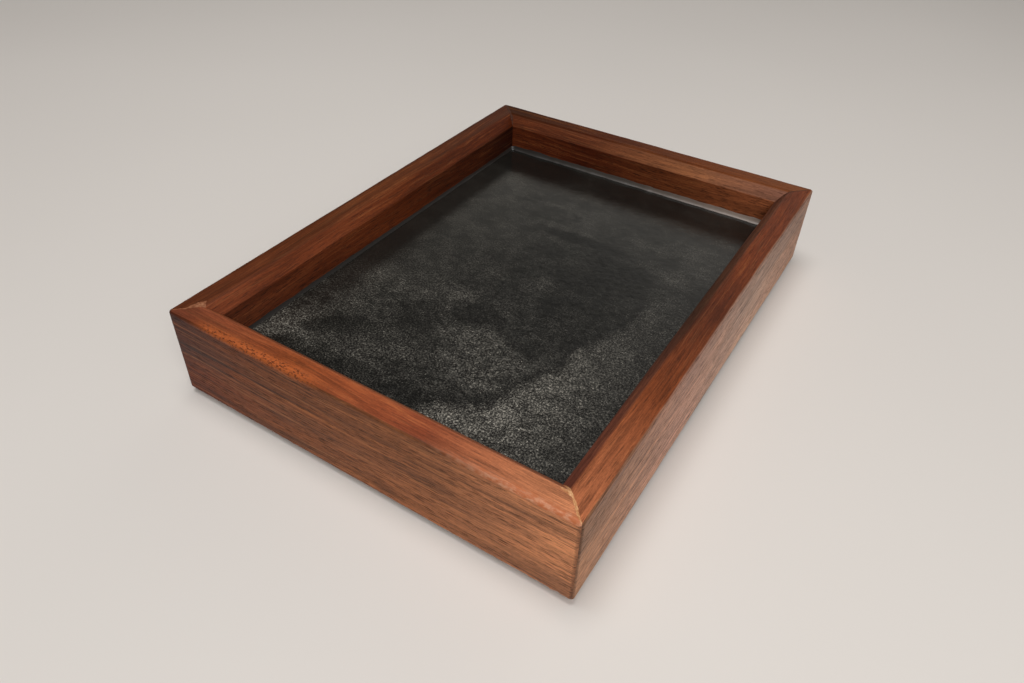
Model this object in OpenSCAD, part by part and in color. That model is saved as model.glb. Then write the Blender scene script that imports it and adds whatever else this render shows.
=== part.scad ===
// Framed inkstone: a stone grinding slab bedded in a mitred hardwood tray on rubber feet.
// Millimetres. +Z is up and +Y points to the back. The origin is on the table surface,
// under the centre of the tray. The front rail lies at -Y and the right rail at +X.

/* [Frame] */
// Outer width of the tray, left to right
frame_w = 150; // [120:1:220]
// Outer length of the tray, front to back
frame_l = 201; // [175:1:300]
// Height of the rails
rail_h = 33; // [32:0.5:44]
// Thickness of a rail, from its outside face to its inside face
rail_t = 11.7; // [11:0.1:15]
// Width of the sloping bevel on the inner top edge of a rail
bevel_w = 3.8; // [2:0.1:5]
// Height of the same bevel
bevel_h = 4.2; // [2:0.1:5]
// Radius of the eased outside long edges
edge_r = 0.8; // [0.4:0.1:1.5]
// Radius of the upright corners
corner_r = 1.2; // [0.6:0.1:2.5]

/* [Mitre joints] */
// Thickness of the hidden key in each mitre
key_t = 3; // [2:0.5:3]
// Width of a key, shared by its two rails
key_w = 7; // [5:0.5:7]
// Height of a key
key_h = 18; // [10:1:18]
// Width of the filled gap along the top of a mitre
filler_w = 0.6; // [0.4:0.1:1.2]
// Depth of the filled gap
filler_d = 1.6; // [1:0.1:2.5]

/* [Stone slab] */
// Thickness of the slab
slab_t = 10.5; // [8:0.5:13]
// Clearance between the slab and the rails, on each side
slab_gap = 0.2; // [0.1:0.05:0.5]
// Width and height of the sealing bead round the slab
bead_w = 1.6; // [0.8:0.1:3]
// Thickness of the cork bedding under the slab
bedding_t = 1.4; // [0.8:0.1:2]

/* [Base] */
// Thickness of the base panel
panel_t = 5; // [4:0.5:6]
// How far the panel sits above the underside of the rails
panel_recess = 0.5; // [0:0.1:1]
// Width of the rabbet that holds the panel
rabbet_w = 6; // [5.5:0.25:7]
// Clearance between the panel and the rabbet, on each side
panel_gap = 0.25; // [0.1:0.05:0.5]
// Distance of the screws from the middle of a long side
long_screw_pitch = 62; // [40:1:64]
// Diameter of a foot
foot_d = 14; // [10:1:16]
// Height of a foot below the rails
foot_h = 2; // [1.5:0.25:4]

/* [Hidden] */
$fn = 48;
arc_steps = 6;
key_z = 9;
key_end_gap = 0.3;
chip_d = 2.4;
chip_plan = [[4.4, 4.4], [9.1, 9.1], [7.4, 12.4]];
edge_to_foot = 16;
foot_chamfer = 0.6;
bedding_inset = 0.5;
shank_r = 1.1;
screw_hole_r = 1.25;
screw_head_r = 2.15;
screw_head_h = 1.2;
screw_l = 12.7;
screw_tip_h = 1.6;
screw_tip_r = 0.2;
drive_w = 0.6;
drive_l = 2.6;
drive_d = 0.8;
pilot_spare = 0.4;
overrun = 1;

rim_z = foot_h + rail_h;
panel_z = foot_h + panel_recess;
rabbet_h = panel_recess + panel_t;
bedding_z = panel_z + panel_t;
slab_z = bedding_z + bedding_t;
slab_top = slab_z + slab_t;
inner_w = frame_w - 2 * rail_t;
inner_l = frame_l - 2 * rail_t;
screw_inset = rail_t - rabbet_w / 2;
key_inset = rail_t * sqrt(2) / 2;

// Sides run anticlockwise from the front, and each corner comes at the start of its side.
FRONT = 0;
RIGHT = 1;
BACK = 2;
LEFT = 3;
FRONT_LEFT = 0;
FRONT_RIGHT = 1;
BACK_RIGHT = 2;
BACK_LEFT = 3;

function side_len(side) = side % 2 == 0 ? frame_w : frame_l;
function side_off(side) = side % 2 == 0 ? frame_l / 2 : frame_w / 2;
function corner_x(corner) = corner == FRONT_LEFT || corner == BACK_LEFT ? -1 : 1;
function corner_y(corner) = corner == FRONT_LEFT || corner == FRONT_RIGHT ? -1 : 1;
function side_screws(side) = side % 2 == 0 ? [0] : [-long_screw_pitch, 0, long_screw_pitch];
function arc(centre, r, from, to) =
    [for (i = [0:arc_steps]) let (a = from + (to - from) * i / arc_steps) centre + r * [cos(a), sin(a)]];

// Puts children that are drawn for the front side on any side.
module at_side(side) {
    rotate([0, 0, 90 * side]) children();
}

// Corner coordinates: X runs inward from the corner along the mitre, Y across the mitre.
module at_corner(corner) {
    translate([corner_x(corner) * frame_w / 2, corner_y(corner) * frame_l / 2, 0])
        rotate([0, 0, 45 + 90 * corner])
        children();
}

// Section of a rail: X runs inward from the outside face, Y up from the underside.
module rail_profile() {
    polygon(concat(
        arc([edge_r, edge_r], edge_r, 180, 270),
        [
            [rail_t - rabbet_w, 0],
            [rail_t - rabbet_w, rabbet_h],
            [rail_t, rabbet_h],
            [rail_t, rail_h - bevel_h],
            [rail_t - bevel_w, rail_h]
        ],
        arc([edge_r, rail_h - edge_r], edge_r, 90, 180)
    ));
}

// Section of the bead, a hollow-faced fillet between the inside of a rail and the slab.
module bead_profile() {
    hollow = 1.3 * bead_w;
    hollow_r = norm([hollow - bead_w, hollow]);
    tilt = atan2(hollow - bead_w, hollow);
    translate([rail_t, slab_top - foot_h])
        polygon(concat([[0, 0]], arc([hollow, hollow], hollow_r, 270 - tilt, 180 + tilt)));
}

// Runs a section along a side and cuts both its ends at 45 degrees.
module mitred_run(side, depth) {
    run = side_len(side);
    off = side_off(side);
    at_side(side) intersection() {
        translate([-run / 2, -off, foot_h])
            rotate([90, 0, 90])
            linear_extrude(run)
            children();
        linear_extrude(rim_z + overrun)
            polygon([
                [-run / 2, -off],
                [run / 2, -off],
                [run / 2 - depth, depth - off],
                [depth - run / 2, depth - off]
            ]);
    }
}

// Plan outline of the tray with its rounded upright corners.
module outline() {
    square([frame_w - 2 * corner_r, frame_l], center = true);
    square([frame_w, frame_l - 2 * corner_r], center = true);
    for (x = [-1, 1], y = [-1, 1])
        translate([x * (frame_w / 2 - corner_r), y * (frame_l / 2 - corner_r)])
            circle(corner_r);
}

// A rail before its joints and holes are cut.
module rail_blank(side) {
    intersection() {
        mitred_run(side, rail_t + overrun) rail_profile();
        linear_extrude(rim_z + overrun) outline();
    }
}

// Room for one key, or the key itself when no end gap is given.
module key_shape(corner, end_gap) {
    width = key_w + 2 * end_gap;
    at_corner(corner)
        translate([key_inset - key_t / 2, -width / 2, foot_h + key_z])
        cube([key_t, width, key_h]);
}

// Groove that the filler stands in: a narrow cut that follows the rail's top and bevel.
module filler_groove(corner) {
    reach = rail_t * sqrt(2);
    bevel_start = (rail_t - bevel_w) * sqrt(2);
    floor_z = rim_z - filler_d;
    at_corner(corner)
        translate([0, filler_w / 2, 0])
        rotate([90, 0, 0])
        linear_extrude(filler_w)
        polygon([
            [0, floor_z],
            [bevel_start - filler_d / 2, floor_z],
            [reach - filler_d / 2, floor_z - bevel_h],
            [reach + overrun, floor_z - bevel_h],
            [reach + overrun, rim_z + overrun],
            [0, rim_z + overrun]
        ]);
}

// A chip beside the front left mitre, mostly on the left rail, which the filler makes good.
module filled_chip() {
    translate([-frame_w / 2, -frame_l / 2, rim_z - chip_d])
        linear_extrude(chip_d + overrun)
        polygon(chip_plan);
}

module filler_seat(corner) {
    filler_groove(corner);
    if (corner == FRONT_LEFT) filled_chip();
}

// Screw positions along one side, on the middle of the rabbet.
module at_screws(side) {
    at_side(side)
        for (x = side_screws(side))
            translate([x, screw_inset - side_off(side), panel_z])
                children();
}

module rail(side) {
    color("#8a4a2b") difference() {
        rail_blank(side);
        for (corner = [side, (side + 1) % 4]) {
            key_shape(corner, key_end_gap);
            filler_seat(corner);
        }
        at_screws(side) translate([0, 0, panel_t - overrun])
            cylinder(r = shank_r, h = screw_l - panel_t + overrun + pilot_spare);
    }
}

module mitre_key(corner) {
    color("#b98d5e") key_shape(corner, 0);
}

module mitre_filler(corner) {
    color("#c9a07c") intersection() {
        union() {
            rail_blank(corner);
            rail_blank((corner + 3) % 4);
        }
        filler_seat(corner);
    }
}

module ink_slab() {
    color("#32302e")
        translate([0, 0, slab_z + slab_t / 2])
        cube([inner_w - 2 * slab_gap, inner_l - 2 * slab_gap, slab_t], center = true);
}

module seal_bead() {
    color("#3d3a36")
        for (side = [FRONT:LEFT])
            mitred_run(side, rail_t + 2 * bead_w) bead_profile();
}

module slab_bedding() {
    inset = slab_gap + bedding_inset;
    color("#b07f4f")
        translate([0, 0, bedding_z + bedding_t / 2])
        cube([inner_w - 2 * inset, inner_l - 2 * inset, bedding_t], center = true);
}

module base_panel() {
    reach = rabbet_w - panel_gap;
    color("#c8a47a") difference() {
        translate([0, 0, panel_z + panel_t / 2])
            cube([inner_w + 2 * reach, inner_l + 2 * reach, panel_t], center = true);
        for (side = [FRONT:LEFT]) at_screws(side) {
            cylinder(r1 = screw_head_r, r2 = shank_r, h = screw_head_h);
            cylinder(r = screw_hole_r, h = panel_t + overrun);
        }
    }
}

// Countersunk wood screw, head down, with a cross drive.
module wood_screw() {
    difference() {
        union() {
            cylinder(r1 = screw_head_r, r2 = shank_r, h = screw_head_h);
            cylinder(r = shank_r, h = screw_l - screw_tip_h);
            translate([0, 0, screw_l - screw_tip_h])
                cylinder(r1 = shank_r, r2 = screw_tip_r, h = screw_tip_h);
        }
        for (turn = [0, 90])
            rotate([0, 0, turn])
            cube([drive_l, drive_w, 2 * drive_d], center = true);
    }
}

module panel_screws() {
    color("#b08d4a")
        for (side = [FRONT:LEFT]) at_screws(side) wood_screw();
}

// Rubber foot with a chamfered rim, glued under the panel.
module foot(corner) {
    x = corner_x(corner) * (frame_w / 2 - edge_to_foot);
    y = corner_y(corner) * (frame_l / 2 - edge_to_foot);
    color("#26262a")
        translate([x, y, 0]) {
            cylinder(r1 = foot_d / 2 - foot_chamfer, r2 = foot_d / 2, h = foot_chamfer);
            translate([0, 0, foot_chamfer]) cylinder(r = foot_d / 2, h = panel_z - foot_chamfer);
        }
}

rail(FRONT);  // rail_front
rail(RIGHT);  // rail_right
rail(BACK);  // rail_back
rail(LEFT);  // rail_left
mitre_key(FRONT_LEFT);  // mitre_key_front_left
mitre_key(FRONT_RIGHT);  // mitre_key_front_right
mitre_key(BACK_RIGHT);  // mitre_key_back_right
mitre_key(BACK_LEFT);  // mitre_key_back_left
mitre_filler(FRONT_LEFT);  // mitre_filler_front_left
mitre_filler(FRONT_RIGHT);  // mitre_filler_front_right
mitre_filler(BACK_RIGHT);  // mitre_filler_back_right
mitre_filler(BACK_LEFT);  // mitre_filler_back_left
ink_slab();
seal_bead();
slab_bedding();
base_panel();
panel_screws();
foot(FRONT_LEFT);  // foot_front_left
foot(FRONT_RIGHT);  // foot_front_right
foot(BACK_RIGHT);  // foot_back_right
foot(BACK_LEFT);  // foot_back_left
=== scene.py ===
"""Framed inkstone: the looks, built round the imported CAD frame.

Metres, in the CAD's own frame: +Z up, the front rail at -Y, the right rail at +X.
Materials work in millimetres from the same origin.
"""
import math

import bmesh
import bpy
import numpy as np
from mathutils import Matrix, Vector, noise


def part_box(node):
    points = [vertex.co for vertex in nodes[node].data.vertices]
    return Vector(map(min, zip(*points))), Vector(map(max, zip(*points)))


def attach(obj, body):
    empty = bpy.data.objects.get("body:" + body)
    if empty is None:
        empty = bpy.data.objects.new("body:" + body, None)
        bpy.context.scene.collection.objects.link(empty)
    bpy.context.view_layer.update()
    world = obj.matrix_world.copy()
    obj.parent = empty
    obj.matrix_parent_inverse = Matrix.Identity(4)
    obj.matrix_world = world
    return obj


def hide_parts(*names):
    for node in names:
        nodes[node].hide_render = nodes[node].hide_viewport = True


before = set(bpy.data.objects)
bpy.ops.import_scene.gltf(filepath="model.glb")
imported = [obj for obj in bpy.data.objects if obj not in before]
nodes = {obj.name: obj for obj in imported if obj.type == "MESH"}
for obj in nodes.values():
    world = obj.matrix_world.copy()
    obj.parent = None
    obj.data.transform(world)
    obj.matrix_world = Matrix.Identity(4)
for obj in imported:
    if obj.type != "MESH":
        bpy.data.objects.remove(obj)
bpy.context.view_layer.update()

MM = 0.001

# ---------------------------------------------------------------- the tray's sizes, from the frame
front_low, front_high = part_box("rail_front")
HALF_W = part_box("rail_right")[1].x
HALF_L = -front_low.y
RAIL_T = front_high.y - front_low.y
RAIL_Z = front_low.z
RIM_Z = front_high.z
RAIL_H = RIM_Z - RAIL_Z
SLAB_LOW, SLAB_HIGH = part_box("ink_slab")
PANEL_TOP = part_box("base_panel")[1].z
bead_low, bead_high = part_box("seal_bead")
BEAD_W = bead_high.z - bead_low.z
INNER_W = HALF_W - RAIL_T
INNER_L = HALF_L - RAIL_T

# ---------------------------------------------------------------- details of the woodwork
BEVEL_W = 3.8 * MM
BEVEL_H = 4.2 * MM
RABBET_W = 6.0 * MM
RABBET_H = PANEL_TOP - RAIL_Z
EDGE_R = 0.8 * MM
UNDER_EDGE_R = EDGE_R * 1.3
BEVEL_TOP_R = 2.4 * MM
BEVEL_FOOT_R = 0.6 * MM
CORNER_R = 1.3 * MM
CORNER_LEAD = 0.4 * MM
MITRE_GAP = 0.04 * MM
WAVE = 0.05 * MM

# ---------------------------------------------------------------- how finely the meshes are divided
RAIL_PITCH = 1.1 * MM
SLAB_PITCH = 0.56 * MM
BEAD_PITCH = 1.5 * MM
CORNER_STEPS = 6

FRONT, RIGHT, BACK, LEFT = range(4)
SIDES = {"front": FRONT, "right": RIGHT, "back": BACK, "left": LEFT}
CORNERS = {
    "front_left": (-1, -1),
    "front_right": (1, -1),
    "back_right": (1, 1),
    "back_left": (-1, 1),
}


# ---------------------------------------------------------------- mesh helpers
def new_piece(name, verts, faces, sharp=38):
    """A smooth-shaded mesh object, with edges over the given angle kept sharp."""
    mesh = bpy.data.meshes.new(name)
    mesh.from_pydata(np.asarray(verts, float).tolist(), [], faces)
    bm = bmesh.new()
    bm.from_mesh(mesh)
    bmesh.ops.remove_doubles(bm, verts=bm.verts, dist=1e-7)
    bmesh.ops.recalc_face_normals(bm, faces=bm.faces)
    bm.to_mesh(mesh)
    bm.free()
    mesh.polygons.foreach_set("use_smooth", [True] * len(mesh.polygons))
    mesh.set_sharp_from_angle(angle=math.radians(sharp))
    obj = bpy.data.objects.new(name, mesh)
    bpy.context.scene.collection.objects.link(obj)
    return obj


def grid_faces(rows, cols, wrap=False):
    """Quads between rows of cols points each; wrap joins the last column to the first."""
    faces = []
    for r in range(rows - 1):
        for c in range(cols if wrap else cols - 1):
            d = (c + 1) % cols
            faces.append((r * cols + c, r * cols + d, (r + 1) * cols + d, (r + 1) * cols + c))
    return faces


def grid_rim(rows, cols):
    """Indices round the edge of a grid of points."""
    rim = list(range(cols))
    rim += [r * cols + cols - 1 for r in range(1, rows)]
    rim += [(rows - 1) * cols + c for c in range(cols - 2, -1, -1)]
    rim += [r * cols for r in range(rows - 2, 0, -1)]
    return rim


def rounded_outline(corners):
    """Closed outline through corners (x, y, radius), with each corner rounded by an arc."""
    out = []
    for i, (x, y, radius) in enumerate(corners):
        p = np.array([x, y])
        a = np.array(corners[i - 1][:2]) - p
        b = np.array(corners[(i + 1) % len(corners)][:2]) - p
        a /= np.linalg.norm(a)
        b /= np.linalg.norm(b)
        half = math.acos(float(np.clip(a @ b, -1, 1))) / 2
        centre = p + (a + b) / np.linalg.norm(a + b) * radius / math.sin(half)
        start = p + a * radius / math.tan(half) - centre
        end = p + b * radius / math.tan(half) - centre
        turn = math.atan2(start[0] * end[1] - start[1] * end[0], start @ end)
        for k in range(CORNER_STEPS + 1):
            c = math.cos(turn * k / CORNER_STEPS)
            s = math.sin(turn * k / CORNER_STEPS)
            out.append(centre + (start[0] * c - start[1] * s, start[0] * s + start[1] * c))
    return out


def spans(outline):
    """Pairs of neighbouring points round a closed outline."""
    return list(zip(outline, outline[1:] + outline[:1]))


def split_spans(outline, splits):
    """Points of a closed outline, with span i divided evenly into splits[i] pieces."""
    points = []
    for (p, q), pieces in zip(spans(outline), splits):
        points += [p + (q - p) * k / pieces for k in range(pieces)]
    return np.array(points)


# ---------------------------------------------------------------- rails
def rail_outline(ease=1.0):
    """Section of a rail: inset from the outside face, and height above the underside."""
    return rounded_outline([
        (0, 0, UNDER_EDGE_R * ease),
        (RAIL_T - RABBET_W, 0, 0.4 * MM),
        (RAIL_T - RABBET_W, RABBET_H, 0.1 * MM),
        (RAIL_T, RABBET_H, 0.2 * MM),
        (RAIL_T, RAIL_H - BEVEL_H, BEVEL_FOOT_R),
        (RAIL_T - BEVEL_W, RAIL_H, BEVEL_TOP_R),
        (0, RAIL_H, EDGE_R * ease),
    ])


nominal = rail_outline()
SPLITS = [max(1, int(np.linalg.norm(q - p) / RAIL_PITCH)) for p, q in spans(nominal)]
upper_points = [tuple(p) for p in nominal if p[1] > RAIL_H - BEVEL_H - 0.5 * MM]
upper_points.sort(key=lambda p: p[0])
TOP_INSET = [p[0] for p in upper_points]
TOP_HEIGHT = [p[1] for p in upper_points]


def waviness(p):
    """Small unevenness of hand-planed wood, the same on both rails where they meet."""
    slow = noise.noise(Vector(p) / (28 * MM))
    quick = noise.noise(Vector(p) / (7 * MM) + Vector((5, 3, 1)))
    return WAVE * (slow + 0.35 * quick)


def lead_in(inset):
    """Length of the stretch between a rail's straight part and its rounded corner."""
    return CORNER_LEAD * min(inset / CORNER_R, 1)


def corner_path(inset, t):
    """Distance from the rail's end and new inset, when going t (0 to 1) of the way to the mitre."""
    lead = lead_in(inset)
    radius = max(CORNER_R - inset, 0)
    along_path = t * (lead + radius * math.pi / 4)
    if along_path <= lead or radius == 0:
        return max(CORNER_R, inset) + lead - along_path, inset
    turn = (along_path - lead) / radius
    return CORNER_R - radius * math.sin(turn), CORNER_R - radius * math.cos(turn)


def edge_ease(side, place):
    """How much a rail's outer edges are rubbed down at a place: most near the front right corner."""
    hand = Vector((place / (11 * MM), side * 7.3, 0))
    ease = 1 + 0.25 * noise.noise(hand) + 0.15 * noise.noise(hand * 3.1)
    if side == FRONT:
        worn = min(max((place - 38 * MM) / (25 * MM), 0), 1)
        ease += worn * (0.45 + 0.65 * noise.noise(hand * 5.3))
    return max(ease, 0.4)


def rail_stations(half):
    """Stations along a rail: (0, -1 to 1) on the straight part, (-1 or 1, 0 to 1) from it to a mitre."""
    straight = int(half / RAIL_PITCH)
    rounding = [k / CORNER_STEPS for k in range(1, CORNER_STEPS + 1)]
    stations = [(-1, t) for t in reversed(rounding)]
    stations += [(0, k / straight) for k in range(-straight, straight + 1)]
    stations += [(1, t) for t in rounding]
    return stations


def rail_row(side, half, off, end, t):
    """Section of a rail at one station, where the front rail would have it."""
    row = []
    for inset, height in split_spans(rail_outline(edge_ease(side, half * (end or t))), SPLITS):
        if end:
            back, inset = corner_path(inset, t)
            u = end * (half - back - MITRE_GAP * t)
        else:
            u = t * (half - max(CORNER_R, inset) - lead_in(inset))
        row.append((u, inset - off, RAIL_Z + height))
    return row


def outward_normals(points):
    """Unit normals of a grid of points that closes round its second axis."""
    across = np.roll(points, -1, axis=1) - np.roll(points, 1, axis=1)
    normals = np.cross(across, np.gradient(points, axis=0))
    normals /= np.linalg.norm(normals, axis=2, keepdims=True) + 1e-12
    from_middle = points - points.mean(axis=1, keepdims=True)
    return -normals if (normals * from_middle).sum() < 0 else normals


def make_rail(name, side):
    """One mitred rail, laid out as the front rail and turned to its own side."""
    half, off = (HALF_W, HALF_L) if side in (FRONT, BACK) else (HALF_L, HALF_W)
    points = np.array([rail_row(side, half, off, end, t) for end, t in rail_stations(half)])
    count, cols = points.shape[:2]
    turn = np.array(Matrix.Rotation(math.radians(90 * side), 3, "Z"))
    world = points.reshape(-1, 3) @ turn.T
    # the rabbet's faces stay flat, because the panel lies against them
    shown = (points[..., 2] > RAIL_Z + RABBET_H + MM) | (points[..., 1] < 2 * MM - off)
    push = np.array([waviness(p) if s else 0.0 for p, s in zip(world, shown.ravel())])
    world += (outward_normals(points).reshape(-1, 3) * push[:, None]) @ turn.T
    faces = grid_faces(count, cols, wrap=True)
    faces.append(tuple(range(cols)))
    faces.append(tuple((count - 1) * cols + c for c in range(cols)))
    rail = new_piece(name, world, faces)
    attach(rail, "root")
    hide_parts("rail_" + name.split("_")[1])
    return rail


# ---------------------------------------------------------------- filler in the mitres
FILLER_DEPTH = 0.9 * MM
FILLER_PROUD = 0.03 * MM


def top_height(inset):
    """Height of a rail's upper surface above its underside, at an inset from its outside face."""
    return float(np.interp(inset, TOP_INSET, TOP_HEIGHT))


def on_top(corner, out_x, out_y, lift):
    """Point on the rails' upper surface, out_x and out_y in from a corner's two outside faces."""
    sx, sy = CORNERS[corner]
    height = RAIL_Z + top_height(min(out_x, out_y))
    p = Vector((sx * (HALF_W - out_x), sy * (HALF_L - out_y), height))
    p.z += waviness(p) + lift
    return p


def crown(across):
    """How proud filler stands, from its middle (0) to its edges (-1 and 1)."""
    return FILLER_PROUD * (1.1 - across ** 2)


def skin(rows, depth):
    """Vertices and faces of a closed solid that reaches depth below a grid of surface points."""
    count, cols = len(rows), len(rows[0])
    top = [p for row in rows for p in row]
    bottom = [p - Vector((0, 0, depth)) for p in top]
    size = len(top)
    faces = grid_faces(count, cols)
    faces += [tuple(size + i for i in reversed(face)) for face in grid_faces(count, cols)]
    rim = grid_rim(count, cols)
    for a, b in spans(rim):
        faces.append((a, a + size, b + size, b))
    return top + bottom, faces


def filler_line(corner, width, start, stop, seed):
    """Surface points of a thin, uneven line of filler along a mitre, between two insets."""
    steps = 80
    rows = []
    for k in range(steps + 1):
        inset = start + (stop - start) * k / steps
        rough = noise.noise(Vector((inset / (1.1 * MM), seed, 0)))
        drift = noise.noise(Vector((inset / (4 * MM), seed, 9))) * 0.2 * MM
        taper = min(1, 0.15 + 6 * min(k, steps - k) / steps)
        half_width = width / 2 * (1 + 0.6 * rough) * taper
        row = []
        for across in np.linspace(-1, 1, 7):
            out_x = inset + across * half_width + drift
            out_y = inset - across * half_width - drift
            row.append(on_top(corner, out_x, out_y, crown(across)))
        rows.append(row)
    return rows


def filler_patch(corner, a, b, c, seed):
    """Surface points of a filled chip: side a-b lies along the mitre and c is its far tip."""
    steps = 24
    lean = 1 if c.y > c.x else -0.4
    rows = []
    for k in range(steps + 1):
        t = k / steps
        swell = math.sin(math.pi * t) * MM
        ragged = 0.35 * swell * noise.noise(Vector((t * 9, seed, 0)))
        bulge = 0.5 * swell
        left = a + (c - a) * t + Vector((ragged - bulge, bulge - ragged)) * lean
        right = b + (c - b) * t
        row = []
        for w in np.linspace(0, 1, 13):
            row.append(on_top(corner, *(left + (right - left) * w), crown(2 * w - 1)))
        rows.append(row)
    return rows


def make_filler(corner, grids):
    """One piece from one or more grids of surface points."""
    verts = []
    faces = []
    for rows in grids:
        more, shapes = skin(rows, FILLER_DEPTH)
        faces += [tuple(len(verts) + i for i in shape) for shape in shapes]
        verts += more
    piece = new_piece("filler_" + corner, verts, faces, sharp=50)
    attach(piece, "root")
    return piece


# ---------------------------------------------------------------- slab
SLAB_MARGIN = 3 * MM


def stone_relief(x, y):
    """Height of the stone's face over its nominal top: a wavy cleft, fine grain and a worn hollow."""
    low, high = SLAB_LOW, SLAB_HIGH
    p = Vector((x, y, 0))
    cleft = 0.09 * MM * noise.noise(p / (26 * MM)) + 0.02 * MM * noise.noise(p / (7 * MM))
    grain = 0.012 * MM * noise.noise(p / (1.2 * MM))
    hollow = 0.25 * MM * math.exp(-(x / (38 * MM)) ** 2 - ((y + 15 * MM) / (52 * MM)) ** 2)
    fade = min(1, min(x - low.x, high.x - x, y - low.y, high.y - y) / SLAB_MARGIN)
    return (cleft + grain - hollow) * fade


def make_slab():
    """The stone, with a fine grid of points on its face."""
    low, high = SLAB_LOW, SLAB_HIGH
    cols = int((high.x - low.x) / SLAB_PITCH) + 1
    rows = int((high.y - low.y) / SLAB_PITCH) + 1
    verts = []
    for y in np.linspace(low.y, high.y, rows):
        for x in np.linspace(low.x, high.x, cols):
            verts.append((x, y, high.z + stone_relief(x, y)))
    faces = grid_faces(rows, cols)
    rim = grid_rim(rows, cols)
    base = len(verts)
    verts += [(verts[i][0], verts[i][1], low.z) for i in rim]
    for i, a in enumerate(rim):
        j = (i + 1) % len(rim)
        faces.append((a, base + i, base + j, rim[j]))
    faces.append(tuple(base + i for i in range(len(rim))))
    slab = new_piece("stone_slab", verts, faces, sharp=60)
    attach(slab, "root")
    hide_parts("ink_slab")
    return slab


# ---------------------------------------------------------------- bead round the slab
BEAD_CORNER_R = 2.2 * MM
BEAD_SUNK = 0.12 * MM
BEAD_ARC = 7
BEAD_TALLER = 1.2
# its hollow face is an arc whose radius and centre are given in bead widths
HOLLOW_R = 1.5
HOLLOW_CENTRE = 1.44
HOLLOW_HALF_ANGLE = 25


def bead_path():
    """Places along the foot of the walls, each with the direction that faces the wall."""
    turns = []
    for sx, sy, first in ((1, -1, -90), (1, 1, 0), (-1, 1, 90), (-1, -1, 180)):
        centre = np.array((sx * (INNER_W - BEAD_CORNER_R), sy * (INNER_L - BEAD_CORNER_R)))
        for k in range(CORNER_STEPS + 1):
            a = math.radians(first + 90 * k / CORNER_STEPS)
            out = np.array([math.cos(a), math.sin(a)])
            turns.append((centre + out * BEAD_CORNER_R, out))
    path = []
    for (here, out), (there, next_out) in spans(turns):
        pieces = max(1, int(np.linalg.norm(there - here) / BEAD_PITCH))
        for k in range(pieces):
            t = k / pieces
            facing = out * (1 - t) + next_out * t
            path.append((here * (1 - t) + there * t, facing / np.linalg.norm(facing)))
    return path


def bead_section(place, out):
    """Section of the bead at one place: its foot, its hollow face and its top edge."""
    p = Vector((place[0], place[1], 0))
    uneven = 1 + 0.30 * noise.noise(p / (9 * MM)) + 0.15 * noise.noise(p / (2.5 * MM))
    width = BEAD_W * uneven * (1 - 0.4 * abs(out[0]))
    # the wall and the stone bow a little, so the bead reaches just behind their faces
    wall = place + out * BEAD_SUNK
    section = [(wall[0], wall[1], SLAB_HIGH.z - BEAD_SUNK)]
    for k in range(BEAD_ARC + 1):
        a = math.radians(45 + HOLLOW_HALF_ANGLE * (2 * k / BEAD_ARC - 1))
        inward = width * (HOLLOW_CENTRE - HOLLOW_R * math.sin(a))
        up = BEAD_TALLER * width * (HOLLOW_CENTRE - HOLLOW_R * math.cos(a))
        q = place - out * inward
        section.append((q[0], q[1], SLAB_HIGH.z + up))
    section.append((wall[0], wall[1], SLAB_HIGH.z + BEAD_TALLER * width))
    return section


def make_bead():
    """Hollow-faced bead of sealant between the slab and the rails, smoothed round the corners."""
    sections = [bead_section(place, out) for place, out in bead_path()]
    verts = [point for section in sections for point in section]
    count, cols = len(sections), len(sections[0])
    last = (count - 1) * cols
    faces = grid_faces(count, cols, wrap=True)
    for c in range(cols):
        d = (c + 1) % cols
        faces.append((last + c, last + d, d, c))
    bead = new_piece("sealant_bead", verts, faces, sharp=60)
    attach(bead, "root")
    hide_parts("seal_bead")
    return bead


# ---------------------------------------------------------------- node helpers
def srgb(colour):
    """Linear values of an sRGB colour given as 0 to 255."""
    return tuple((v / 255 / 12.92) if v <= 10 else ((v / 255 + 0.055) / 1.055) ** 2.4 for v in colour)


def rgba(colour):
    return (*srgb(colour), 1) if isinstance(colour, tuple) else colour


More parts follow.
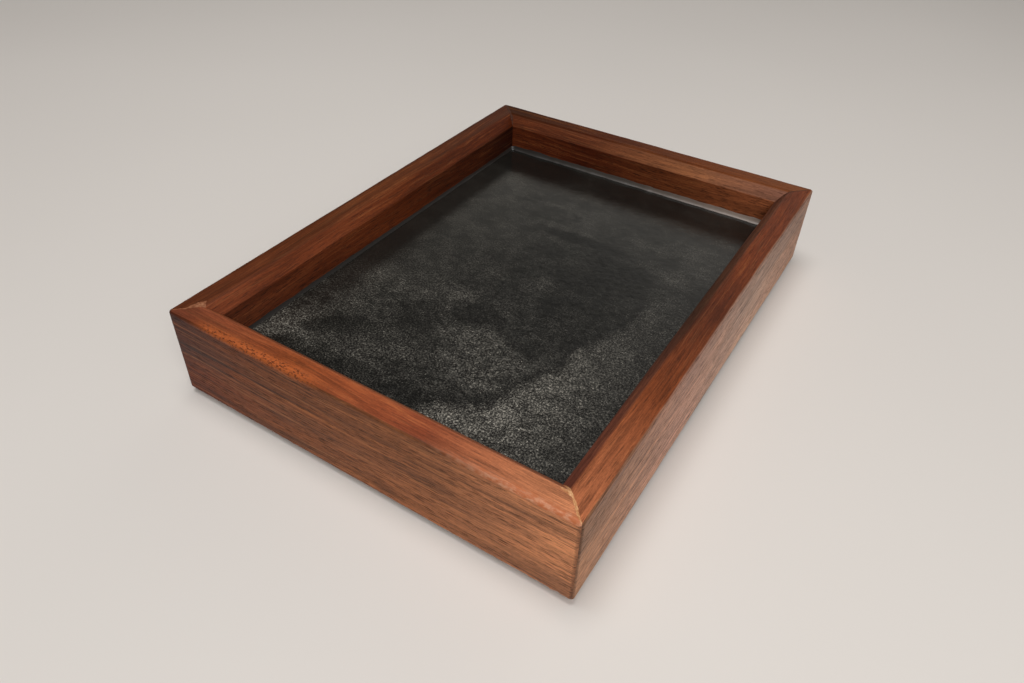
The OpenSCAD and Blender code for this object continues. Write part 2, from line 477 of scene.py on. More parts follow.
class Nodes:
    """Short calls for adding nodes to a tree."""

    def __init__(self, tree):
        self.tree = tree

    def add(self, kind, inputs=None, **settings):
        made = self.tree.nodes.new(kind)
        for key, value in settings.items():
            setattr(made, key, value)
        for key, value in (inputs or {}).items():
            self.give(made.inputs[key], value)
        return made

    def give(self, socket, value):
        if isinstance(value, bpy.types.NodeSocket):
            self.tree.links.new(value, socket)
        elif value is not None:
            socket.default_value = value

    def math(self, operation, a, b=None, c=None, clamp=False):
        made = self.add("ShaderNodeMath", operation=operation, use_clamp=clamp)
        for i, value in enumerate((a, b, c)):
            self.give(made.inputs[i], value)
        return made.outputs[0]

    def less(self, amount, cover, share):
        """An amount, less a share of itself where it is covered."""
        kept = self.math("SUBTRACT", 1.0, self.math("MULTIPLY", cover, share))
        return self.math("MULTIPLY", amount, kept)

    def vector(self, operation, a, b=None):
        made = self.add("ShaderNodeVectorMath", operation=operation)
        self.give(made.inputs[0], a)
        self.give(made.inputs[1], b)
        return made.outputs[1 if operation in ("LENGTH", "DOT_PRODUCT") else 0]

    def split(self, source):
        """The three coordinates of a vector."""
        return self.add("ShaderNodeSeparateXYZ", {"Vector": source}).outputs

    def join(self, x):
        return self.add("ShaderNodeCombineXYZ", {"X": x}).outputs[0]

    def grey(self, value):
        channels = {"Red": value, "Green": value, "Blue": value}
        return self.add("ShaderNodeCombineColor", channels).outputs[0]

    def mapping(self, source, scale, turn=0.0, shift=(0, 0, 0)):
        made = self.add("ShaderNodeMapping", {"Vector": source, "Scale": scale, "Location": shift})
        made.inputs["Rotation"].default_value = (0, 0, math.radians(turn))
        return made.outputs[0]

    def noise(self, source, scale=1.0, detail=2.0, rough=0.5, output="Fac"):
        inputs = {"Vector": source, "Scale": scale, "Detail": detail, "Roughness": rough}
        return self.add("ShaderNodeTexNoise", inputs).outputs[output]

    def drift(self, source, size, **pattern):
        """A slowly changing offset, up to about half the given size each way."""
        wander = self.noise(source, output="Color", **pattern)
        return self.vector("MULTIPLY", self.vector("SUBTRACT", wander, (0.5, 0.5, 0.5)), size)

    def cells(self, source, scale=1.0, output="Distance"):
        return self.add("ShaderNodeTexVoronoi", {"Vector": source, "Scale": scale}).outputs[output]

    def ramp(self, source, low, high, start=0.0, end=1.0):
        """Smooth step of source from low to high, giving start to end."""
        inputs = {"Value": source, "From Min": low, "From Max": high, "To Min": start, "To Max": end}
        return self.add("ShaderNodeMapRange", inputs, interpolation_type="SMOOTHSTEP").outputs[0]

    def colours(self, source, stops):
        made = self.add("ShaderNodeValToRGB", {"Fac": source})
        elements = made.color_ramp.elements
        while len(elements) < len(stops):
            elements.new(0.5)
        for element, (position, colour) in zip(elements, stops):
            element.position = position
            element.color = (*srgb(colour), 1)
        return made.outputs[0]

    def mix(self, amount, a, b, blend="MIX"):
        made = self.add("ShaderNodeMix", data_type="RGBA", blend_type=blend)
        self.give(made.inputs[0], amount)
        self.give(made.inputs[6], rgba(a))
        self.give(made.inputs[7], rgba(b))
        return made.outputs[2]

    def bump(self, height, distance):
        inputs = {"Height": height, "Strength": 1.0, "Distance": distance}
        return self.add("ShaderNodeBump", inputs).outputs[0]


class Shader(Nodes):
    """One material: mm is the place on the object in millimetres."""

    def __init__(self, name):
        self.material = bpy.data.materials.new(name)
        self.material.use_nodes = True
        super().__init__(self.material.node_tree)
        self.tree.nodes.clear()
        out = self.add("ShaderNodeOutputMaterial")
        self.bsdf = self.add("ShaderNodeBsdfPrincipled")
        self.tree.links.new(self.bsdf.outputs[0], out.inputs["Surface"])
        place = self.add("ShaderNodeTexCoord").outputs["Object"]
        self.mm = self.mapping(place, (1 / MM, 1 / MM, 1 / MM))

    def finish(self, colour, rough, normal=None, **fixed):
        """The finished material; fixed holds the shader's other sockets, each one plain value."""
        self.give(self.bsdf.inputs["Base Color"], rgba(colour))
        self.give(self.bsdf.inputs["Roughness"], rough)
        self.give(self.bsdf.inputs["Normal"], normal)
        for key, value in fixed.items():
            self.bsdf.inputs[key.replace("_", " ")].default_value = value
        return self.material


def dress(obj, material):
    obj.data.materials.clear()
    obj.data.materials.append(material)


# ---------------------------------------------------------------- the rails' wood
# each surface's colours, from one end of the rail to the other: left to right, or front to back. Besides
# the wood's own tone they hold painted light and shade: lighter towards the right and the front where
# light falls, a painted sheen on the pale right outer face, and painted corner shade at the far end of the
# left rail's wall
TINTS_WITH_PAINTED_LIGHT = {
    "front": {
        "top": [(115, 60, 40), (140, 70, 35), (125, 60, 35), (195, 125, 85)],
        "bevel": [(120, 60, 30), (140, 75, 40)],
        "wall": [(95, 45, 25), (110, 60, 30)],
        "face": [(85, 30, 5), (120, 65, 30), (140, 85, 50), (190, 125, 85)],
    },
    "right": {
        "top": [(170, 100, 65), (120, 60, 30), (80, 35, 15), (105, 45, 15), (95, 40, 10)],
        "bevel": [(120, 65, 50), (80, 50, 35), (90, 50, 35)],
        "wall": [(85, 40, 20), (80, 40, 20)],
        "face": [(160, 115, 85), (180, 135, 115), (180, 145, 125), (165, 120, 95)],
    },
    "back": {
        "top": [(55, 25, 5), (65, 25, 5), (95, 45, 15), (110, 60, 30)],
        "bevel": [(85, 40, 20), (90, 45, 25), (130, 80, 50), (120, 80, 65)],
        "wall": [(90, 40, 20), (75, 30, 15), (105, 55, 30), (165, 95, 60)],
        "face": [(120, 70, 45), (135, 80, 55)],
    },
    "left": {
        "top": [(90, 45, 25), (90, 45, 20), (70, 30, 10)],
        "bevel": [(120, 60, 35), (90, 40, 15), (70, 25, 5)],
        "wall": [(100, 50, 30), (100, 45, 20), (25, 5, 5)],
        "face": [(120, 70, 45), (110, 60, 40)],
    },
}
# per rail: place in the grain, openness of the pores on top, gloss, and the figure's darkest and
# lightest shades
FIGURE = {
    "front": ((13, 4, 2), 0.35, 0.18, (0.42, 1.75)),
    "right": ((171, 11, 5), 0.55, 0.12, (0.46, 1.68)),
    "back": ((407, 21, 9), 0.4, 0.06, (0.58, 1.50)),
    "left": ((633, 35, 15), 0.4, 0.12, (0.54, 1.56)),
}


def runs_lengthwise(side):
    return side in (RIGHT, LEFT)


def along(s, position, half, colours):
    """Colour that runs through a list of colours from one end of a rail to the other."""
    place = s.math("MULTIPLY_ADD", position, 0.5 / half, 0.5)
    last = len(colours) - 1
    return s.colours(place, [(k / last, colour) for k, colour in enumerate(colours)])


def rail_tint_with_painted_light(s, side, tints_with_painted_light, facing, outer_face):
    """Base colour of each of a rail's surfaces, painted light and shade included; facing is 1 on the outer
    face and -1 on the wall.
    """
    x, y = s.split(s.mm)[:2]
    place = (y, HALF_L / MM) if runs_lengthwise(side) else (x, HALF_W / MM)
    tint = along(s, *place, tints_with_painted_light["top"])
    tint = s.mix(s.ramp(facing, -0.20, -0.74), tint, along(s, *place, tints_with_painted_light["bevel"]))
    tint = s.mix(s.ramp(facing, -0.82, -0.96), tint, along(s, *place, tints_with_painted_light["wall"]))
    return s.mix(outer_face, tint, along(s, *place, tints_with_painted_light["face"]))


def wood_figure(s, grain):
    """Tone of the wood, with its broad patches and its fibres given separately too."""
    # growth rings lie round a pith far off to one side
    from_pith = s.vector("MULTIPLY", s.vector("ADD", grain, (0, 46, 34)), (0.004, 1, 1))
    rings = s.noise(s.join(s.vector("LENGTH", from_pith)), scale=0.45, detail=3, rough=0.6)
    broad = s.noise(s.mapping(grain, (0.022, 0.13, 0.13)), detail=2, rough=0.55)
    streak = s.noise(s.mapping(grain, (0.03, 0.75, 0.75)), detail=3, rough=0.6)
    fibre = s.noise(s.mapping(grain, (0.07, 1.8, 1.8)), detail=3, rough=0.7)
    grit = s.noise(s.mapping(grain, (1.2, 3.2, 3.2)), detail=1)
    tone = s.math("MULTIPLY", s.ramp(rings, 0.30, 0.70), 0.22)
    for pattern, weight in ((broad, 0.50), (streak, 0.45), (fibre, 0.75), (grit, 0.25)):
        tone = s.math("MULTIPLY_ADD", pattern, weight, tone)
    return tone, broad, fibre


def shaded(s, side, tint, tone, depth, outer_face):
    """The tint shaded by the figure, and down the outer face by painted light: lighter low down, as if lit
    from below, turning the other way towards the front rail's right end.
    """
    shade = s.ramp(tone, 0.72, 1.52, *depth)
    x, _, z = s.split(s.mm)
    # painted light down the outer face: lighter low down, as if lit from below; on the front rail it turns
    # the other way towards the right end
    high, low = 0.84, 1.22
    if side == FRONT:
        high = s.ramp(x, 15, 60, high, 1.15)
        low = s.ramp(x, 15, 60, low, 0.92)
    painted_bounce_shade = s.math("MULTIPLY", shade, s.ramp(z, 31, 8, high, low))
    shade = s.mix(outer_face, s.grey(shade), s.grey(painted_bounce_shade))
    colour = s.mix(1.0, tint, shade, blend="MULTIPLY")
    return s.mix(s.ramp(tone, 1.15, 1.55, 0.0, 0.35), colour, (186, 122, 66))


def with_lines(s, colour, grain, facing):
    """Thin tan and dark lines along the grain, plainest on the outer faces."""
    lines = s.noise(s.mapping(grain, (0.014, 1.9, 1.9), shift=(3, 8, 5)), detail=1.5, rough=0.6)
    plain = s.ramp(facing, 0.1, 0.7, 0.3, 1.0)
    tan = s.math("MULTIPLY", s.ramp(lines, 0.54, 0.70, 0.0, 0.30), plain)
    dark = s.math("MULTIPLY", s.ramp(lines, 0.46, 0.32, 0.0, 0.42), plain)
    return s.mix(dark, s.mix(tan, colour, (186, 126, 80)), (44, 22, 14))


def wood_pores(s, grain, upward, top_pores):
    """Long thin cells, most of them open, less so on the rubbed top: 0 to 1."""
    place = s.mapping(grain, (0.16, 2.1, 2.1))
    keep = s.ramp(s.cells(place, output="Color"), 0.25, 0.40)
    pores = s.math("MULTIPLY", s.ramp(s.cells(place), 0.38, 0.20), keep)
    fine = s.ramp(s.cells(s.mapping(grain, (0.30, 2.6, 2.6), shift=(7, 3, 1))), 0.34, 0.16)
    pores = s.math("MAXIMUM", pores, s.math("MULTIPLY", fine, 0.6))
    return s.math("MULTIPLY", pores, s.ramp(upward, 0.4, 0.9, 1.0, top_pores))


def with_dark_arrises(s, colour, facing, upward):
    """Colour darkened along the four upright outer edges, with painted shade along the top outer edge."""
    x, y = s.split(s.mm)[:2]
    beyond = s.math("SUBTRACT", s.math("ABSOLUTE", x), HALF_W / MM)
    behind = s.math("SUBTRACT", s.math("ABSOLUTE", y), HALF_L / MM)
    upright = s.ramp(s.math("ADD", beyond, behind), -1.5, -0.7)
    colour = s.mix(s.math("MULTIPLY", upright, 0.55), colour, (44, 24, 20))
    # painted shade on the top outer edge, which dims the light that edge catches
    painted_shade_top_arris = s.ramp(s.math("MULTIPLY", facing, upward), 0.12, 0.42, 0.0, 0.5)
    return s.mix(painted_shade_top_arris, colour, (62, 32, 20))


def rail_wood(name, side, tints_with_painted_light, seed, top_pores, gloss, depth):
    """Oiled reddish hardwood: long grain, short dark pores, and each surface's drift of colour, which
    holds painted light and shade.
    """
    s = Shader(name)
    out = Vector((0, -1, 0))
    out.rotate(Matrix.Rotation(math.radians(90 * side), 3, "Z"))
    normal = s.add("ShaderNodeNewGeometry").outputs["Normal"]
    facing = s.vector("DOT_PRODUCT", normal, out)
    upward = s.split(normal)[2]
    outer_face = s.ramp(facing, 0.15, 0.65)

    turned = s.mapping(s.mm, (1, 1, 1), turn=-90 if runs_lengthwise(side) else 0, shift=seed)
    bend = s.drift(s.mapping(turned, (0.010, 0.03, 0.03)), (0, 7, 7), detail=1.5)
    grain = s.vector("ADD", turned, bend)
    tone, broad, fibre = wood_figure(s, grain)
    pores = wood_pores(s, grain, upward, top_pores)

    colour = rail_tint_with_painted_light(s, side, tints_with_painted_light, facing, outer_face)
    colour = shaded(s, side, colour, tone, depth, outer_face)
    colour = with_lines(s, colour, grain, facing)
    colour = s.mix(s.math("MULTIPLY", pores, 0.70), colour, (36, 18, 12))
    colour = with_dark_arrises(s, colour, facing, upward)
    rough = s.math("MULTIPLY_ADD", pores, 0.2, s.ramp(broad, 0.2, 0.8, 0.42, 0.52))
    height = s.math("MULTIPLY_ADD", pores, -1.0, s.math("MULTIPLY", fibre, 0.35))
    if side == FRONT:
        colour, height = front_marks(s, colour, height)
    return s.finish(colour, rough, s.bump(height, 0.05 * MM), Specular_IOR_Level=gloss)


# ---------------------------------------------------------------- marks on the front rail
def rubbed_edge_and_highlight(s, colour, ragged, x, inset, drop):
    """The top outer edge drawn pale towards the right: rubbed wood and a painted highlight on the rounded
    edge.
    """
    above = s.ramp(s.math("MULTIPLY_ADD", ragged, 3.0, inset), 4.6, 1.6)
    below = s.ramp(s.math("MULTIPLY_ADD", ragged, 2.2, drop), 2.5, 2.0)
    # painted highlight along with the wear: the edge is drawn pale where it is rubbed and where it catches
    # the light
    pale = s.math("MULTIPLY", s.math("MULTIPLY", above, below), s.ramp(x, 20, 66, 0.0, 0.80))
    worn = s.mix(s.ramp(ragged, 0.36, 0.74), (184, 104, 64), (220, 164, 132))
    return s.mix(pale, colour, worn)


def pitted_band(s, colour, ragged, x, inset, drop):
    """An orange band with torn pits along the edge to the left, and how deep its pits are."""
    band = s.math("MULTIPLY", s.ramp(inset, 4.2, 1.6), s.ramp(drop, 2.0, 0.8))
    from_middle = s.math("ABSOLUTE", s.math("ADD", x, 37))
    band = s.math("MULTIPLY", band, s.ramp(from_middle, 30, 16))
    colour = s.mix(s.math("MULTIPLY", band, 0.45), colour, (196, 102, 48))
    torn = s.vector("ADD", s.mm, s.noise(s.mm, scale=1.3, detail=2, output="Color"))
    pits = s.ramp(s.cells(s.mapping(torn, (0.8, 1.8, 1.8))), 0.48, 0.28)
    pits = s.math("MULTIPLY", pits, s.math("MULTIPLY", band, s.ramp(ragged, 0.34, 0.50)))
    return s.mix(s.math("MULTIPLY", pits, 0.72), colour, (48, 20, 13)), pits


def dark_streak(s, colour, x, z, inset):
    """A long wandering dark streak across the left of the outer face."""
    wander = s.noise(s.mapping(s.mm, (0.05, 0.4, 0.4)), detail=3)
    off = s.math("MULTIPLY_ADD", wander, 3.0, s.math("SUBTRACT", z, 24.4))
    streak = s.math("MULTIPLY", s.ramp(s.math("ABSOLUTE", off), 0.75, 0.15), s.ramp(x, 8, -26))
    streak = s.math("MULTIPLY", streak, s.ramp(inset, 1.0, 0.4, 0.0, 0.65))
    return s.mix(streak, colour, (34, 18, 13))


def front_marks(s, colour, height):
    """Colour and height with the front rail's marks; pits are cut into the height."""
    x, y, z = s.split(s.mm)
    inset = s.math("ADD", y, HALF_L / MM)
    drop = s.math("SUBTRACT", RIM_Z / MM, z)
    ragged = s.noise(s.mapping(s.mm, (0.45, 0.9, 0.9)), detail=3, rough=0.65)
    colour = rubbed_edge_and_highlight(s, colour, ragged, x, inset, drop)
    colour, pits = pitted_band(s, colour, ragged, x, inset, drop)
    colour = dark_streak(s, colour, x, z, inset)
    return colour, s.math("MULTIPLY_ADD", pits, -2.5, height)


# ---------------------------------------------------------------- the stone
# marks on it, each an oval (centre, half size), in mm from the tray's middle, the last two with a strength
POOL = [((-8, -24), (44, 57)), ((21, 1), (24, 30)), ((-4, 12), (30, 25)), ((6, -48), (25, 27))]
PALE_SPOTS = [
    ((7, -42), (17, 7), 0.75), ((14, -54), (16, 10), 0.45), ((-15, -26), (5, 8), 0.55),
    ((-32, -26), (8, 7), 0.45), ((-50, -30), (7, 6), 0.6), ((-57, -70), (9, 8), 0.85),
    ((-42, -72), (12, 6), 0.6), ((-22, -62), (12, 10), 0.30), ((4, -2), (5, 6), 0.4),
    ((42, 30), (8, 5), 0.25), ((52, 80), (16, 10), 0.4),
]
# the long oval at (-22, -80) is painted shadow of the front rail, and the one at (-46, 80) painted dark
# reflection of the left and back walls
STAINS_AND_PAINTED_SHADE = [
    ((-2, -29), (12, 6), 0.6), ((-20, -42), (9, 7), 0.45), ((-38, -60), (10, 7), 0.55),
    ((22, -36), (5, 5), 0.6), ((-3, 21), (7, 5), 0.9), ((13, -4), (4, 6), 0.5),
    ((8, 34), (19, 4), 1.0), ((32, 24), (9, 8), 0.9), ((-22, -80), (34, 8), 0.7),
    ((-30, -25), (4, 3), 0.5), ((22, 12), (16, 14), 0.85), ((26, -10), (14, 22), 0.65),
    ((-46, 80), (26, 12), 0.8), ((0, -68), (22, 6), 0.5),
]
SPOT_SOFTNESS = 4


def oval(s, place, at, size):
    """Depth in mm inside an oval's edge, about right near the edge."""
    from_middle = s.vector("SUBTRACT", place, (*at, 0))
    flat = s.vector("MULTIPLY", from_middle, (1 / size[0], 1 / size[1], 0))
    return s.math("MULTIPLY", s.math("SUBTRACT", 1.0, s.vector("LENGTH", flat)), sum(size) / 2)


def ink_pool(s, place):
    """Depth in mm inside the edge of the dried pool, negative outside it."""
    depth = oval(s, place, *POOL[0])
    for at, size in POOL[1:]:
        depth = s.math("MAXIMUM", depth, oval(s, place, at, size))
    return depth


def spots(s, place, marks):
    """How much of a point is covered by any of a list of soft-edged ovals."""
    total = 0.0
    for at, size, strength in marks:
        spot = s.ramp(oval(s, place, at, size), -SPOT_SOFTNESS, SPOT_SOFTNESS, 0.0, strength)
        total = s.math("MAXIMUM", spot, total)
    return total


def dusty_bloom(s, x, y, depth, pool):
    """Dust outside the pool, thickest along its edge at the near right."""
    bloom = s.math("MULTIPLY", s.math("SUBTRACT", 1.0, pool), s.ramp(depth, -34, 0))
    bloom = s.math("MULTIPLY", bloom, s.math("MULTIPLY", s.ramp(y, 22, -50), s.ramp(x, -14, 22)))
    return s.math("MULTIPLY", bloom, s.ramp(x, 54, 10, 0.42, 1.0))


def thin_film(s, place, x, y, near):
    """Thin grey film: haze all over, wisps at the far end, and more of it to the left."""
    haze = s.ramp(s.noise(place, scale=0.07, detail=5, rough=0.7), 0.32, 0.70)
    wisps = s.noise(s.mapping(place, (0.03, 0.16, 1), turn=-32), detail=3, rough=0.6)
    wisps = s.math("MULTIPLY", s.ramp(wisps, 0.46, 0.72), s.ramp(y, -10, 45))
    wisps = s.math("MULTIPLY", wisps, 0.14)
    film = s.math("MULTIPLY_ADD", haze, s.ramp(near, 0, 1, 0.29, 0.17), wisps)
    return s.math("MULTIPLY_ADD", s.ramp(x, 10, -50), s.ramp(near, 0, 1, 0.14, 0.22), film)


def painted_wall_reflections(s):
    """Strips along the left and back walls where the dust is drawn thinner, 0 to 1: painted dark
    reflection of the walls, sharpening the reflected bands.
    """
    x, y = s.split(s.mm)[:2]
    left = s.math("MULTIPLY", s.ramp(x, -49, -54), s.ramp(y, -80, -20))
    return s.math("MAXIMUM", left, s.ramp(y, 65, 72))


def stone_grains(s):
    """A broken fractal surface, and its tips with separate bright specks, each 0 to 1."""
    grains = s.noise(s.mm, scale=1.5, detail=4, rough=0.75)
    keep = s.ramp(s.cells(s.mm, scale=1.8, output="Color"), 0.40, 0.95)
    specks = s.math("MULTIPLY", s.ramp(s.cells(s.mm, scale=1.8), 0.45, 0.10), keep)
    broken = s.math("MULTIPLY", s.ramp(grains, 0.40, 0.66), 0.65)
    return grains, s.math("MULTIPLY_ADD", specks, 0.75, broken)


def ink_clots(s, x, pool):
    """Dark and light clots of ink in the right of the pool, -0.9 to 0.9."""
    clots = s.ramp(s.noise(s.mm, scale=0.5, detail=4, rough=0.7), 0.38, 0.60, -0.9, 0.9)
    return s.math("MULTIPLY", clots, s.math("MULTIPLY", pool, s.ramp(x, -22, 4)))


def flaky_mottle(s, place, near):
    """How unevenly the dust lies: round 1, most uneven at the near end."""
    flaky = s.noise(s.mapping(place, (0.22, 0.34, 1), turn=25), detail=5, rough=0.72)
    mottle = s.ramp(flaky, 0.36, 0.64, -0.58, 0.60)
    return s.math("MULTIPLY_ADD", mottle, s.ramp(near, 0.05, 0.5, 0.3, 1.0), 1.0)


def slate():
    """Honed black stone with a dried pool of ink, a dusty bloom round it and a granular face, with painted
    shadow and dark reflections along its walls.
    """
    s = Shader("black_slate")
    place = s.vector("ADD", s.mm, s.drift(s.mm, (14, 14, 0), scale=0.09, detail=4, rough=0.6))
    x, y = s.split(place)[:2]
    nearness = s.math("MULTIPLY_ADD", x, 0.5, s.math("MULTIPLY", y, -0.85))
    near = s.ramp(nearness, -48, 88)
    grainy = s.ramp(nearness, -72, 70, 0.15, 1.0)
    depth = ink_pool(s, place)
    pool = s.ramp(depth, -2.2, 3.2)
    tide = s.math("MULTIPLY", s.math("MULTIPLY", pool, s.ramp(depth, 8, 1)), s.ramp(x, -24, 2))
    stain_and_shade = spots(s, place, STAINS_AND_PAINTED_SHADE)
    inked = s.math("MAXIMUM", tide, stain_and_shade)
    mottle = flaky_mottle(s, place, near)
    clots = ink_clots(s, x, pool)
    grains, tips = stone_grains(s)

    bloom = dusty_bloom(s, x, y, depth, pool)
    dust = s.math("MULTIPLY_ADD", spots(s, place, PALE_SPOTS), 0.40, bloom)
    dust = s.math("ADD", dust, thin_film(s, place, x, y, near))
    dust = s.math("ADD", dust, s.ramp(near, 0, 1, 0.0, 0.12))
    dust = s.math("ADD", dust, s.ramp(near, 0.65, 1.0, 0.0, 0.28))
    # the dust thins under the stains and the tide line, and along the walls as painted dark reflection
    for cover, share in ((stain_and_shade, 0.78), (tide, 0.72), (painted_wall_reflections(s), 0.75)):
        dust = s.less(dust, cover, share)

    shown = s.math("MULTIPLY_ADD", s.math("SUBTRACT", tips, 0.40), grainy, 0.40)
    spread = s.math("MULTIPLY_ADD", s.math("MULTIPLY", shown, shown), 1.25, 0.02)
    cover = s.math("MULTIPLY", s.math("MULTIPLY", dust, mottle), spread, clamp=True)
    stone = s.math("MULTIPLY", shown, s.ramp(near, 0, 1, 0.6, 1.0))
    stone = s.math("MULTIPLY", stone, s.math("ADD", clots, 1.0))
    stone = s.less(stone, inked, 0.5)
    colour = s.mix(cover, s.mix(stone, (11, 11, 10), (46, 45, 41)), (168, 162, 150))

    rough = s.ramp(near, 0, 1, 0.10, 0.24)
    for pattern, weight in ((cover, 0.30), (inked, -0.07), (mottle, 0.04), (clots, 0.05)):
        rough = s.math("MULTIPLY_ADD", pattern, weight, rough)
    lumps = s.math("MULTIPLY_ADD", s.noise(s.mm, scale=0.4, detail=3), 1.5, grains)
    strength = s.math("MULTIPLY_ADD", grainy, 0.8, 0.2)
    relief = s.math("MULTIPLY", s.math("SUBTRACT", lumps, 1.25), strength)
    return s.finish(colour, rough, s.bump(relief, 0.09 * MM), Specular_IOR_Level=0.45)


# ---------------------------------------------------------------- the other materials
def filler_paste():
    """Wood filler: pale at the front right corner, dull tan at the front left, brown at the back."""
    s = Shader("wood_filler")
    mottle = s.noise(s.mm, scale=1.1, detail=4, rough=0.65)
    x, y = s.split(s.mm)[:2]
    dull = s.colours(mottle, [(0.35, (112, 64, 42)), (0.52, (140, 90, 62)), (0.72, (170, 122, 92))])
    pale = s.colours(mottle, [(0.35, (168, 108, 68)), (0.52, (198, 144, 98)), (0.72, (226, 180, 136))])
    brown = s.colours(mottle, [(0.3, (46, 23, 13)), (0.7, (78, 43, 26))])
    colour = s.mix(s.ramp(x, -20, 20), dull, pale)
    colour = s.mix(s.ramp(y, -40, 40), colour, brown)
    relief = s.bump(s.noise(s.mm, scale=4, detail=3), 0.05 * MM)
    return s.finish(colour, 0.55, relief, Specular_IOR_Level=0.15)


def sealant():
    """Dark sealant, its colour painted paler towards the right: a painted highlight where the bead catches
    the light from above.
    """
    s = Shader("dark_sealant")
    x = s.split(s.mm)[0]
    blotch = s.noise(s.mm, scale=0.25, detail=3)
    place = s.math("MULTIPLY_ADD", x, 0.5 / 63, 0.5)
    place = s.math("ADD", place, s.math("MULTIPLY_ADD", blotch, 0.16, -0.08))
    # painted highlight: the bead's colour grows pale towards the right
    colour = s.colours(place, [
        (0.0, (34, 31, 29)),
        (0.2, (42, 38, 35)),
        (0.5, (60, 54, 49)),
        (0.75, (98, 86, 78)),
        (1.0, (134, 119, 109)),
    ])
    relief = s.bump(s.noise(s.mm, scale=0.5, detail=2), 0.03 * MM)
    return s.finish(colour, 0.38, relief, Specular_IOR_Level=0.35)


def plain_wood(name, light, dark, across=2.0):
    """Pale unfinished wood for the keys and the plywood, with fine grain."""
    s = Shader(name)
    fibre = s.noise(s.mapping(s.mm, (across, 0.05, across)), detail=4, rough=0.6)
    broad = s.noise(s.mapping(s.mm, (0.06, 0.01, 0.06)), detail=2)
    tone = s.math("MULTIPLY_ADD", broad, 0.5, s.math("MULTIPLY", fibre, 0.5))
    colour = s.colours(tone, [(0.3, dark), (0.7, light)])
    return s.finish(colour, 0.65, s.bump(fibre, 0.03 * MM))


def cork():
    s = Shader("cork")
    granules = s.cells(s.mm, scale=0.8, output="Color")
    tone = s.noise(granules, scale=3, detail=1)
    colour = s.colours(tone, [(0.3, (112, 72, 42)), (0.6, (168, 120, 76))])
    return s.finish(colour, 0.85, s.bump(s.cells(s.mm, scale=0.8), 0.1 * MM))


def brass():
    s = Shader("brass")
    tarnish = s.noise(s.mm, scale=1.2, detail=4)
    colour = s.colours(tarnish, [(0.3, (150, 112, 58)), (0.7, (204, 168, 96))])
    return s.finish(colour, s.ramp(tarnish, 0.3, 0.7, 0.45, 0.28), Metallic=1.0)


def rubber():
    s = Shader("black_rubber")
    dust = s.noise(s.mm, scale=0.6, detail=4)
    colour = s.colours(dust, [(0.3, (26, 26, 27)), (0.75, (50, 49, 48))])
    return s.finish(colour, 0.7, s.bump(s.noise(s.mm, scale=5, detail=2), 0.04 * MM))


def floor_paper():
    s = Shader("floor")
    soft = s.noise(s.mm, scale=3 * MM, detail=2)
    colour = s.colours(soft, [(0.3, (213, 207, 201)), (0.7, (217, 211, 205))])
    return s.finish(colour, 0.9)


# ---------------------------------------------------------------- build the object
def chip(corner, seed, *insets_mm):
    """A filled chip given by its three corners, each (x, y) in mm in from the outside faces."""
    return filler_patch(corner, *(Vector(inset) * MM for inset in insets_mm), seed)


FILLERS = {
    "front_left": [
        filler_line("front_left", 0.3 * MM, 0.9 * MM, 4.6 * MM, seed=1),
        chip("front_left", 2, (3.8, 3.8), (8.3, 8.3), (6.3, 10.6)),
    ],
    "front_right": [
        filler_line("front_right", 0.5 * MM, 0.5 * MM, 11.5 * MM, seed=3),
        chip("front_right", 4, (6.2, 6.2), (8.0, 8.0), (11.0, 7.7)),
    ],
    "back_right": [
        filler_line("back_right", 0.3 * MM, 1.5 * MM, 11 * MM, seed=5),
    ],
    "back_left": [
        filler_line("back_left", 0.8 * MM, 1.2 * MM, 11.3 * MM, seed=7),
    ],
}

for name, side in SIDES.items():
    rail = make_rail("wood_" + name, side)
    dress(rail, rail_wood("wood_" + name, side, TINTS_WITH_PAINTED_LIGHT[name], *FIGURE[name]))

paste = filler_paste()
for corner, grids in FILLERS.items():
    piece = make_filler(corner, grids)
    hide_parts("mitre_filler_" + corner)
    dress(piece, paste)

dress(make_slab(), slate())
dress(make_bead(), sealant())

key_wood = plain_wood("key_wood", (196, 156, 108), (150, 108, 66))
foot_rubber = rubber()
for corner in CORNERS:
    dress(nodes["mitre_key_" + corner], key_wood)
    dress(nodes["foot_" + corner], foot_rubber)
dress(nodes["slab_bedding"], cork())
dress(nodes["base_panel"], plain_wood("birch_plywood", (214, 180, 134), (178, 138, 92), across=0.9))
dress(nodes["panel_screws"], brass())

# ---------------------------------------------------------------- floor
bpy.ops.mesh.primitive_plane_add(size=8, location=(0, 0, 0))
floor = bpy.context.object
floor.name = "floor"
dress(floor, floor_paper())


# ---------------------------------------------------------------- camera
CAMERA_AT = Vector((0.1177, -0.2093, 0.1877))
CAMERA_AZIMUTH = math.radians(-31.93)
CAMERA_DOWN = math.radians(38.97)
CAMERA_ROLL = math.radians(1.47)


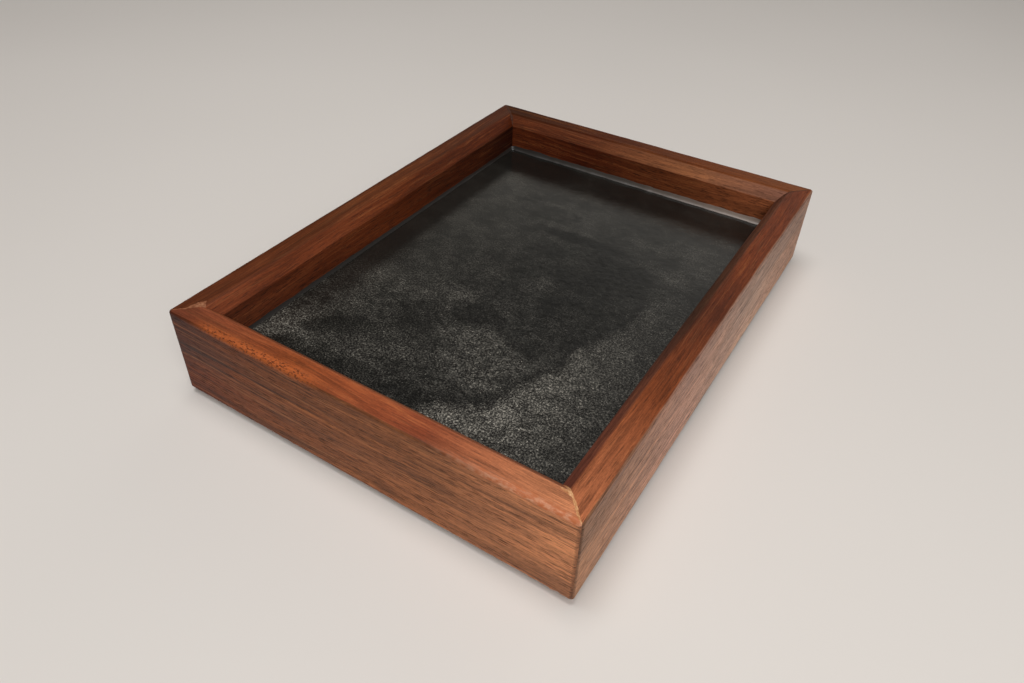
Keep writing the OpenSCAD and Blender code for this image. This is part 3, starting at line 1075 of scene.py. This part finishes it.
def make_camera():
    """The camera, at the photograph's viewing angle."""
    data = bpy.data.cameras.new("camera")
    data.lens = 27.25
    data.sensor_width = 36
    data.shift_x = 0.0127
    data.shift_y = -0.0114
    data.clip_start = 0.01
    ahead = Vector((math.sin(CAMERA_AZIMUTH) * math.cos(CAMERA_DOWN),
                    math.cos(CAMERA_AZIMUTH) * math.cos(CAMERA_DOWN),
                    -math.sin(CAMERA_DOWN)))
    right = ahead.cross(Vector((0, 0, 1))).normalized()
    up = right.cross(ahead)
    level = Matrix((right, up, -ahead)).transposed()
    turned = level @ Matrix.Rotation(CAMERA_ROLL, 3, "Z")
    obj = bpy.data.objects.new("camera", data)
    obj.matrix_world = Matrix.Translation(CAMERA_AT) @ turned.to_4x4()
    bpy.context.scene.collection.objects.link(obj)
    bpy.context.scene.camera = obj


make_camera()


# ---------------------------------------------------------------- light
ROOM_COLOUR = (1.0, 0.95, 0.88, 1)


def softbox(name, place, size, power):
    """A square light that faces the tray."""
    data = bpy.data.lights.new(name, "AREA")
    data.shape = "SQUARE"
    data.size = size
    data.energy = power
    obj = bpy.data.objects.new(name, data)
    obj.location = place
    obj.rotation_mode = "QUATERNION"
    obj.rotation_quaternion = (-Vector(place)).to_track_quat("-Z", "Y")
    bpy.context.scene.collection.objects.link(obj)


def room(glows):
    """Soft surroundings: a few glows, each with a direction, a strength and how narrow it is."""
    world = bpy.data.worlds.new("room")
    bpy.context.scene.world = world
    world.use_nodes = True
    n = Nodes(world.node_tree)
    way = n.add("ShaderNodeTexCoord").outputs["Generated"]
    total = 0.0
    for direction, strength, narrow in glows:
        facing = n.math("MAXIMUM", n.vector("DOT_PRODUCT", way, direction), 0.0)
        total = n.math("MULTIPLY_ADD", n.math("POWER", facing, narrow), strength, total)
    background = world.node_tree.nodes["Background"]
    background.inputs["Color"].default_value = ROOM_COLOUR
    n.give(background.inputs["Strength"], total)


room([((0, 1, 0), 1.45, 6), ((1, 0, 0), 0.32, 2), ((0, -1, 0), 0.34, 2)])
softbox("overhead", (-0.05, -0.10, 1.2), 0.5, 8.0)
softbox("side", (0.55, -0.55, 0.75), 0.5, 5.5)

bpy.context.scene.view_settings.view_transform = "Standard"
